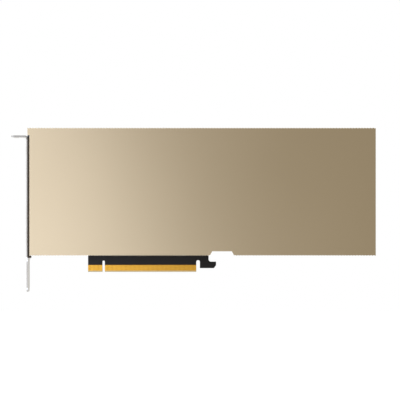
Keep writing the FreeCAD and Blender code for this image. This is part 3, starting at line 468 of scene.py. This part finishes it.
class Finish:
    """A Principled material that is built up step by step."""

    def __init__(self, name, roughness, metallic=0.0, specular=0.5):
        self.material = bpy.data.materials.new(name)
        self.material.use_nodes = True
        self.tree = self.material.node_tree
        self.shader = self.tree.nodes["Principled BSDF"]
        self.shader.inputs["Roughness"].default_value = roughness
        self.shader.inputs["Metallic"].default_value = metallic
        self.shader.inputs["Specular IOR Level"].default_value = specular

    def place(self):
        """The X, Y and Z of each point of the piece."""
        place = self.tree.nodes.new("ShaderNodeTexCoord")
        split = self.tree.nodes.new("ShaderNodeSeparateXYZ")
        self.tree.links.new(place.outputs["Object"], split.inputs["Vector"])
        return split.outputs

    def pattern(self, kind, **values):
        """The outputs of a shared pattern. A space in an input's name is written as _."""
        node = self.tree.nodes.new("ShaderNodeGroup")
        node.node_tree = shared(kind)
        for label, value in values.items():
            node.inputs[label.replace("_", " ")].default_value = value
        return node.outputs

    def span(self, source, low, high):
        """The source's middle range stretched over low to high."""
        return mapped(self.tree, source, NOISE_MIDDLE, (low, high)).outputs["Result"]

    def blend(self, mask, first, second):
        """A colour between two others, each a colour or a socket."""
        node = self.tree.nodes.new("ShaderNodeMix")
        node.data_type = "RGBA"
        self.tree.links.new(mask, node.inputs["Factor"])
        for index, value in ((6, first), (7, second)):
            if hasattr(value, "is_linked"):
                self.tree.links.new(value, node.inputs[index])
            else:
                node.inputs[index].default_value = (*value, 1.0)
        return node.outputs[2]

    def mottled(self, tone, base, spread):
        """The base colour, lighter and darker by a share as the tone goes."""
        return self.blend(tone, tinted(base, -spread), tinted(base, spread))

    def surface(self, colour, roughness, height, depth):
        """Join the sockets of colour, roughness and height to the shader."""
        bump = self.tree.nodes.new("ShaderNodeBump")
        bump.inputs["Distance"].default_value = depth
        for source, target in ((colour, self.shader.inputs["Base Color"]),
                               (roughness, self.shader.inputs["Roughness"]),
                               (height, bump.inputs["Height"]),
                               (bump.outputs["Normal"], self.shader.inputs["Normal"])):
            self.tree.links.new(source, target)
        return self.material


def grained(name, base, roughness, metallic=0.0, specular=0.5, fineness=900.0, drift=30.0,
            spread=0.12, depth=0.01 * MM, gloss=0.08):
    """A finish with fine even grain: castings, coats, mouldings, ceramics and pads."""
    finish = Finish(name, roughness, metallic, specular)
    grain = finish.pattern("grain", Fineness=fineness, Drift=drift)
    tone = finish.span(grain["Tone"], 0.0, 1.0)
    return finish.surface(finish.mottled(tone, base, spread),
                          finish.span(grain["Gloss"], roughness - gloss, roughness + gloss),
                          grain["Height"], depth)


def brushed(name, base, roughness, along, spread, depth=0.004 * MM):
    """A metal with fine lines along one axis: rolled, drawn or brushed sheet."""
    finish = Finish(name, roughness, metallic=1.0)
    lines = finish.pattern("brushed", Fineness=BRUSH_FINENESS, **{"Along_" + along: BRUSH_STRETCH})
    tone = finish.span(lines["Tone"], 0.0, 1.0)
    return finish.surface(
        finish.mottled(tone, base, spread),
        finish.span(lines["Tone"], roughness - BRUSH_GLOSS, roughness + BRUSH_GLOSS),
        lines["Height"], depth)


def board_finish():
    """Black solder mask, bare laminate around the contacts and pale cut laminate at their feet."""
    palette = colours()
    finish = Finish("Board mask", roughness=0.38, specular=0.08)
    low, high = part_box("edge_contacts_front")
    place = finish.place()

    def before(axis, level, blur):
        """1 up to a level along an axis and 0 past it."""
        return mapped(finish.tree, place[axis], (level + blur, level - blur)).outputs["Result"]

    def along_contacts(level, blur):
        """1 below a height, as far as the row of contacts goes."""
        last = before("X", high.x + 1.5 * MM, blur=0.2 * MM)
        return combined(finish.tree, "MULTIPLY", before("Z", level, blur), last)

    grain = finish.pattern("grain", Fineness=1400.0, Drift=60.0)
    mask = finish.mottled(finish.span(grain["Tone"], 0.0, 1.0), palette.mask, spread=0.15)
    weave = finish.pattern("brushed", Fineness=3000.0, Along_X=0.15)
    strands = finish.span(weave["Tone"], 0.0, 1.0)
    bare = finish.mottled(strands, palette.laminate, spread=0.2)
    cut = finish.mottled(strands, palette.bevel, spread=0.1)
    stepped = finish.blend(along_contacts(high.z, blur=0.03 * MM), mask, bare)
    return finish.surface(finish.blend(along_contacts(low.z, blur=0.05 * MM), stepped, cut),
                          finish.span(grain["Gloss"], 0.30, 0.44),
                          grain["Height"], depth=0.004 * MM)


def sheared_edge():
    """The bracket's cut edge: dull steel darkened as painted shade, and darker still on the tab
    above the bend, also painted shade.
    """
    palette = colours()
    finish = Finish("Sheared edge", roughness=0.4, metallic=1.0)
    bend_tall, bend_blur = 2.5 * MM, 1.0 * MM
    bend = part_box("bracket")[1].z - bend_tall
    # Painted shade: this mask darkens the tab's cut edge above the bend.
    tab_shade_mask = mapped(finish.tree, finish.place()["Z"], (bend - bend_blur, bend))
    grain = finish.pattern("grain", Fineness=2200.0, Drift=80.0)
    tone = finish.span(grain["Tone"], 0.0, 1.0)
    body = finish.mottled(tone, palette.sheared, spread=0.1)
    tab = finish.mottled(tone, palette.tab_shade, spread=0.1)
    return finish.surface(finish.blend(tab_shade_mask.outputs["Result"], body, tab),
                          finish.span(grain["Gloss"], 0.34, 0.46),
                          grain["Height"], depth=0.004 * MM)


def make_finishes():
    """Every finish: by the record's slot name, and three that only scene pieces wear."""
    palette = colours()
    return {
        "board_black": board_finish(),
        "contact_gold": brushed(
            "Contact plating", palette.contact, 0.34, "Z", spread=0.06, depth=0.002 * MM),
        "bracket_steel": brushed("Bracket steel", palette.steel, 0.34, "Z", spread=0.08),
        "sheared_edge": sheared_edge(),
        # Painted shade: the dark block's finish in the gap between the bracket and the cover.
        "seal_foam": grained(
            "Seal foam", palette.seal, 0.9, specular=0.2,
            fineness=1800.0, drift=80.0, spread=0.25, depth=0.05 * MM),
        "cover_gold": grained(
            "Cover anodising", palette.cover, 0.355, metallic=1.0,
            fineness=2400.0, drift=9.0, spread=0.012, depth=0.002 * MM, gloss=0.015),
        # Painted highlight on the cover's broken edges.
        "cover_edge_highlight": grained(
            "Cover cut edge", palette.cover_edge_highlight, 0.3, metallic=1.0,
            fineness=2400.0, drift=40.0, spread=0.06, depth=0.002 * MM, gloss=0.04),
        "frame_black": grained(
            "Frame casting", (0.02, 0.02, 0.021), 0.55, specular=0.4,
            fineness=1500.0, drift=40.0, spread=0.2, depth=0.02 * MM),
        "chamber_nickel": brushed("Chamber nickel", (0.56, 0.53, 0.48), 0.3, "X", spread=0.06),
        "fin_aluminium": brushed("Fin aluminium", (0.66, 0.67, 0.68), 0.36, "X", spread=0.1),
        "post_brass": grained(
            "Post brass", (0.55, 0.40, 0.16), 0.35, metallic=1.0,
            fineness=1800.0, drift=60.0, spread=0.08, depth=0.004 * MM),
        "package_green": grained(
            "Package substrate", (0.03, 0.10, 0.035), 0.4,
            fineness=1400.0, drift=60.0, spread=0.15, depth=0.005 * MM),
        "stiffener_steel": brushed("Stiffener steel", (0.55, 0.54, 0.52), 0.32, "X", spread=0.08),
        "die_silicon": grained(
            "Die silicon", (0.12, 0.12, 0.14), 0.12, metallic=0.6,
            fineness=900.0, drift=90.0, spread=0.1, depth=0.001 * MM, gloss=0.03),
        "paste_grey": grained(
            "Thermal paste", (0.35, 0.35, 0.36), 0.6,
            fineness=700.0, drift=60.0, spread=0.2, depth=0.03 * MM),
        "chip_black": grained(
            "Chip moulding", (0.022, 0.022, 0.023), 0.5, specular=0.45,
            fineness=2200.0, drift=50.0, spread=0.25, depth=0.01 * MM),
        "pad_grey": grained(
            "Thermal pad", (0.30, 0.31, 0.33), 0.85, specular=0.3,
            fineness=1200.0, drift=60.0, spread=0.15, depth=0.04 * MM),
        "inductor_grey": grained(
            "Inductor ferrite", (0.09, 0.09, 0.095), 0.6,
            fineness=1600.0, drift=60.0, spread=0.25, depth=0.03 * MM),
        "ceramic_tan": grained(
            "Capacitor ceramic", (0.32, 0.20, 0.10), 0.45,
            fineness=1600.0, drift=200.0, spread=0.15, depth=0.01 * MM),
        "connector_black": grained(
            "Socket nylon", (0.020, 0.020, 0.021), 0.48, specular=0.45,
            fineness=1100.0, drift=60.0, spread=0.2, depth=0.02 * MM),
        "pin_tin": brushed("Pin tin", (0.70, 0.69, 0.67), 0.28, "Z", spread=0.06),
        "backplate_black": grained(
            "Backplate coat", palette.backplate, 0.5, specular=0.45,
            fineness=1300.0, drift=25.0, spread=0.2, depth=0.03 * MM),
        "film_black": grained(
            "Insulating film", (0.016, 0.016, 0.017), 0.32,
            fineness=500.0, drift=30.0, spread=0.15, depth=0.01 * MM),
        "spring_steel": brushed("Spring steel", (0.50, 0.49, 0.48), 0.3, "X", spread=0.1),
        "cushion_black": grained(
            "Cushion rubber", (0.02, 0.02, 0.02), 0.8, specular=0.3,
            fineness=1400.0, drift=60.0, spread=0.3, depth=0.05 * MM),
        "screw_black": grained(
            "Screw oxide", (0.05, 0.05, 0.052), 0.38, metallic=0.7,
            fineness=2200.0, drift=120.0, spread=0.25, depth=0.008 * MM),
    }


FINISHES = {}


# ---- one operator for each piece or group of like pieces ----

class CARD_OT_finishes(bpy.types.Operator):
    """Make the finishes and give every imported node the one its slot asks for"""
    bl_idname = "card.finishes"
    bl_label = "Finishes"

    def execute(self, context):
        FINISHES.update(make_finishes())
        for subpart in frame["record"]["subparts"]:
            paint(frame["nodes"][subpart["node"]], FINISHES[subpart["material_slot"]])
        return {"FINISHED"}


class CARD_OT_cover(bpy.types.Operator):
    """Build the gold cover with its finely ribbed edges"""
    bl_idname = "card.cover"
    bl_label = "Cover"

    def execute(self, context):
        # The broken edges take the second finish, a painted highlight.
        piece = rounded_copy("shroud", "cover", sizes().cover_round,
                             FINISHES["cover_gold"], FINISHES["cover_edge_highlight"])
        declare(piece, "cover_gold", "shroud")
        return {"FINISHED"}


class CARD_OT_sheet_metal(bpy.types.Operator):
    """Build the bracket, the backplate and the processor's spring with broken edges"""
    bl_idname = "card.sheet_metal"
    bl_label = "Sheet metal"

    def execute(self, context):
        for node, name, slot in (("bracket", "slot_bracket", "bracket_steel"),
                                 ("backplate", "back_cover", "backplate_black"),
                                 ("gpu_spring_plate", "cross_spring", "spring_steel")):
            piece = rounded_copy(node, name, sizes().sheet_round, FINISHES[slot])
            if node == "bracket":
                self.paint_cut_edge_shade(piece)
            declare(piece, slot, node)
        return {"FINISHED"}

    def paint_cut_edge_shade(self, piece):
        """Give the faces on the bracket's cover side the darker cut-edge finish, which paints
        shade on them.
        """
        piece.data.materials.append(FINISHES["sheared_edge"])
        # The front faces get the cut-edge finish with its painted shade.
        for face in piece.data.polygons:
            if face.normal.y < -SQUARE_ON:
                face.material_index = 1


class CARD_OT_gap_shade(bpy.types.Operator):
    """Build a dark block in the gap between the bracket and the cover, as painted shade where the
    gap is only in shadow
    """
    bl_idname = "card.seal"
    bl_label = "End seal"

    def execute(self, context):
        size = sizes()
        play = 0.03 * MM           # room between the block and what it lies beside
        tray_play = 0.1 * MM       # room between the block and the tray behind it
        lug_play = 1.5 * MM        # room between the block and the cover's lug above it
        lug_stands_out = 0.5 * MM  # the lug reaches at least this far past the cover's end
        ends = 15.0 * MM           # the cover's lug and the bracket's bends lie within this

        cover = [vertex.co for vertex in frame["nodes"]["shroud"].data.vertices]
        bracket = [vertex.co for vertex in frame["nodes"]["bracket"].data.vertices]
        cover_low, cover_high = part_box("shroud")
        cover_start = min(point.x for point in cover if point.z < cover_high.z - ends)
        lug_foot = min(point.z for point in cover if point.x < cover_start - lug_stands_out)
        inner = max(point.x for point in bracket
                    if cover_low.z + ends < point.z < cover_high.z - ends)
        face = cover_low.y + size.gap_block_inset
        back = min(face + size.gap_block_deep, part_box("cooler_frame")[0].y - tray_play)
        under = cover_low.z - play

        # The block is painted shade: a dark piece standing where the gap is only in shadow.
        piece = box_piece("end_seal", (inner + play, face, under - size.gap_block_foot_tall),
                          (cover_start - play, back, lug_foot - lug_play))
        in_edit_mode(piece, lambda: bpy.ops.mesh.bisect(plane_co=(0.0, 0.0, under),
                                                        plane_no=(0.0, 0.0, 1.0)))
        pick(piece, "polygons", lambda side: side.normal.x > SQUARE_ON and side.center.z < under)
        foot = {"value": (size.gap_block_foot_long, 0.0, 0.0)}
        in_edit_mode(piece, lambda: bpy.ops.mesh.extrude_region_move(TRANSFORM_OT_translate=foot),
                     whole=False)
        apply_modifier(piece, "BEVEL", width=size.gap_block_round, segments=3, limit_method="ANGLE")
        smooth(piece)
        paint(piece, FINISHES["seal_foam"])
        declare(piece, "cushion_black")
        return {"FINISHED"}


class CARD_OT_socket(bpy.types.Operator):
    """Build the power socket with moulded edges"""
    bl_idname = "card.socket"
    bl_label = "Power socket"

    def execute(self, context):
        piece = rounded_copy("power_connector", "power_socket", sizes().moulded_round,
                             FINISHES["connector_black"], whole_faces=False)
        declare(piece, "connector_black", "power_connector")
        return {"FINISHED"}


class CARD_OT_screws(bpy.types.Operator):
    """Build the screws with broken rims"""
    bl_idname = "card.screws"
    bl_label = "Screws"

    def execute(self, context):
        for node in ("backplate_screws", "spring_screws", "shroud_screws", "bracket_screws"):
            piece = rounded_copy(node, node + "_finished", sizes().screw_round,
                                 FINISHES["screw_black"], corner=45.0)
            declare(piece, "screw_black", node)
        return {"FINISHED"}


class CARD_OT_contacts(bpy.types.Operator):
    """Build the two faces' rows of gold contacts"""
    bl_idname = "card.contacts"
    bl_label = "Edge contacts"

    def execute(self, context):
        size = sizes()
        for node in ("edge_contacts_front", "edge_contacts_back"):
            low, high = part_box(node)
            long_start = high.x - size.pad_width - (size.pads_long_run - 1) * size.pad_pitch
            pieces = []
            for start, count in ((low.x, size.pads_short_run), (long_start, size.pads_long_run)):
                piece = box_piece("pads", (start, low.y, low.z),
                                  (start + size.pad_width, high.y, high.z))
                self.round_upper_end(piece, high.z)
                apply_modifier(piece, "ARRAY", count=count, use_relative_offset=False,
                               use_constant_offset=True,
                               constant_offset_displace=(size.pad_pitch, 0.0, 0.0))
                pieces.append(piece)
            row = joined(node.replace("edge_contacts", "plated_contacts"), pieces)
            paint(row, FINISHES["contact_gold"])
            declare(row, "contact_gold", node)
        return {"FINISHED"}

    def round_upper_end(self, piece, top):
        """Round a contact's upper end.

        Known fault: edit mode reads what is picked as points here, so all four upper edges are
        rounded, not only the two that run through the board. The end flares past both faces.
        """
        def through_board(edge):
            first, second = (piece.data.vertices[index].co for index in edge.vertices)
            return min(first.z, second.z) > top - TINY and abs(first.x - second.x) < TINY

        pick(piece, "edges", through_board)
        in_edit_mode(piece, lambda: bpy.ops.mesh.bevel(offset=sizes().pad_round, segments=3,
                                                       affect="EDGES"), whole=False)


class CARD_OT_capacitors(bpy.types.Operator):
    """Build the small ceramic capacitors with tinned end caps"""
    bl_idname = "card.capacitors"
    bl_label = "Capacitors"

    def execute(self, context):
        for node in ("ceramic_capacitors", "bypass_capacitors"):
            pieces = []
            for low, high in solids_of(node):
                pieces.extend(self.capacitor(low, high, sizes().end_share))
            row = joined(node + "_capped", pieces)
            declare(row, "ceramic_tan", node)
        return {"FINISHED"}

    def capacitor(self, low, high, share):
        """A ceramic block between two slightly larger tinned caps, inside the given box."""
        step = 0.03 * MM  # the caps stand out from the block by this
        along = 0 if high.x - low.x >= high.z - low.z else 2  # the long axis, X or Z
        reach = (high[along] - low[along]) * share
        block_low = low + Vector((step, 0, step))
        block_high = high - Vector((step, 0, step))
        if low.y < 0:
            block_low.y += step
        else:
            block_high.y -= step
        first_high, last_low = high.copy(), low.copy()
        first_high[along] = low[along] + reach
        last_low[along] = high[along] - reach

        parts = []
        for start, end, slot in ((block_low, block_high, "ceramic_tan"),
                                 (low, first_high, "pin_tin"), (last_low, high, "pin_tin")):
            part = box_piece("capacitor", start, end)
            apply_modifier(part, "BEVEL", width=0.05 * MM, segments=2, limit_method="ANGLE")
            paint(part, FINISHES[slot])
            parts.append(part)
        return parts


# ---- stage ----

def lamp(name, target, offset, size, watts, tint=WHITE, roll=0.0):
    """A soft rectangular lamp that faces a point from an offset, rolled about that line."""
    light = bpy.data.lights.new(name, "AREA")
    light.shape = "RECTANGLE"
    light.size, light.size_y = size
    light.energy = watts
    light.color = tint
    place = target + Vector(offset)
    aim = (target - place).to_track_quat("-Z", "Y")
    thing = bpy.data.objects.new(name, light)
    thing.location = place
    thing.rotation_euler = (aim @ Quaternion((0.0, 0.0, 1.0), roll)).to_euler()
    bpy.context.scene.collection.objects.link(thing)


def shown_white(tree):
    """1 for the rays that see the background itself: camera, glossy and transmission."""
    rays = tree.nodes.new("ShaderNodeLightPath").outputs
    seen = combined(tree, "MAXIMUM", rays["Is Camera Ray"], rays["Is Glossy Ray"])
    return combined(tree, "MAXIMUM", seen, rays["Is Transmission Ray"])


def floor_paint(stage):
    """White paint that keeps the card's shadow and fades to the backdrop's white further out."""
    white = grained("Floor paint", (0.86, 0.86, 0.86), 0.9, specular=0.1,
                    fineness=40.0, drift=3.0, spread=0.01, depth=0.01 * MM, gloss=0.02)
    tree = white.node_tree
    shader = tree.nodes["Principled BSDF"]
    shader.inputs["Emission Color"].default_value = (*WHITE, 1.0)
    place = tree.nodes.new("ShaderNodeTexCoord")
    away = tree.nodes.new("ShaderNodeVectorMath")
    away.operation = "LENGTH"
    tree.links.new(place.outputs["Object"], away.inputs[0])
    fade = mapped(tree, away.outputs["Value"], (stage.fade_start, stage.fade_end),
                  (stage.floor_glow, stage.far_glow))
    fade.interpolation_type = "SMOOTHSTEP"
    glow = combined(tree, "MULTIPLY", shown_white(tree), fade.outputs["Result"])
    tree.links.new(glow, shader.inputs["Emission Strength"])
    return white


class CARD_OT_stage(bpy.types.Operator):
    """Set up the floor, the lamps, the even sky and the camera"""
    bl_idname = "card.stage"
    bl_label = "Stage"

    def execute(self, context):
        stage = context.scene.card_stage
        across, up = 75.0 * MM, 56.0 * MM
        middle = Vector((across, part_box("shroud")[0].y, up))
        self.lay_floor(context, stage)
        self.light_sky(context, stage)
        lamp("Key lamp", middle, offset=(-0.265, -0.645, -0.056), size=(0.35, 0.75),
             watts=stage.key_watts, tint=(0.635, 0.735, 1.0), roll=math.radians(18.0))
        lamp("Top lamp", middle, offset=(0.1, -0.5, 1.3), size=(1.2, 1.2), watts=stage.top_watts)
        lamp("Fill lamp", middle, offset=(0.9, 1.1, 0.6), size=(1.0, 1.0), watts=stage.fill_watts)
        self.aim_camera(context, stage, middle)
        context.scene.view_settings.view_transform = "Standard"
        return {"FINISHED"}

    def lay_floor(self, context, stage):
        """A wide white floor well below the card."""
        lowest = CAD_BOX[0][2]
        bpy.ops.object.select_all(action="DESELECT")
        bpy.ops.mesh.primitive_plane_add(size=stage.floor_size,
                                         location=(0.0, 0.0, lowest - stage.floor_drop))
        floor = placed(context.active_object, "floor")
        paint(floor, floor_paint(stage))

    def light_sky(self, context, stage):
        """Even light from all round, seen as pure white."""
        world = bpy.data.worlds.new("Sky")
        context.scene.world = world
        world.use_nodes = True
        tree = world.node_tree
        sky = tree.nodes["Background"]
        sky.inputs["Color"].default_value = (*WHITE, 1.0)
        level = mapped(tree, shown_white(tree), (0.0, 1.0), (stage.sky, 1.0))
        tree.links.new(level.outputs["Result"], sky.inputs["Strength"])

    def aim_camera(self, context, stage, middle):
        """A camera straight in front of the card's middle."""
        camera = bpy.data.cameras.new("Camera")
        camera.lens = stage.lens
        camera.clip_start = 0.01
        eye = bpy.data.objects.new("Camera", camera)
        eye.location = middle + Vector((0.0, -stage.camera_gap, 0.0))
        eye.rotation_euler = (math.radians(90.0), 0.0, 0.0)
        context.scene.collection.objects.link(eye)
        context.scene.camera = eye


OPERATORS = (
    CARD_OT_finishes,
    CARD_OT_cover,
    CARD_OT_sheet_metal,
    CARD_OT_gap_shade,
    CARD_OT_socket,
    CARD_OT_screws,
    CARD_OT_contacts,
    CARD_OT_capacitors,
    CARD_OT_stage,
)


class CARD_PT_panel(bpy.types.Panel):
    """The card's pieces, sizes and colours"""
    bl_idname = "CARD_PT_panel"
    bl_label = "Accelerator card"
    bl_space_type = "VIEW_3D"
    bl_region_type = "UI"
    bl_category = "Card"

    def draw(self, context):
        scene = context.scene
        for operator in OPERATORS:
            self.layout.operator(operator.bl_idname)
        for group in (scene.card_sizes, scene.card_colours, scene.card_stage):
            for name in group.bl_rna.properties.keys():
                if name not in ("rna_type", "name"):
                    self.layout.prop(group, name)


CLASSES = (CardSizes, CardColours, StageSizes) + OPERATORS + (CARD_PT_panel,)


def register():
    for part in CLASSES:
        bpy.utils.register_class(part)
    bpy.types.Scene.card_sizes = PointerProperty(type=CardSizes)
    bpy.types.Scene.card_colours = PointerProperty(type=CardColours)
    bpy.types.Scene.card_stage = PointerProperty(type=StageSizes)


def unregister():
    del bpy.types.Scene.card_stage
    del bpy.types.Scene.card_colours
    del bpy.types.Scene.card_sizes
    for part in reversed(CLASSES):
        bpy.utils.unregister_class(part)


def main():
    """Register the add-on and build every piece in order."""
    register()
    for operator in OPERATORS:
        space, name = operator.bl_idname.split(".")
        getattr(getattr(bpy.ops, space), name)()


if __name__ == "__main__":
    main()
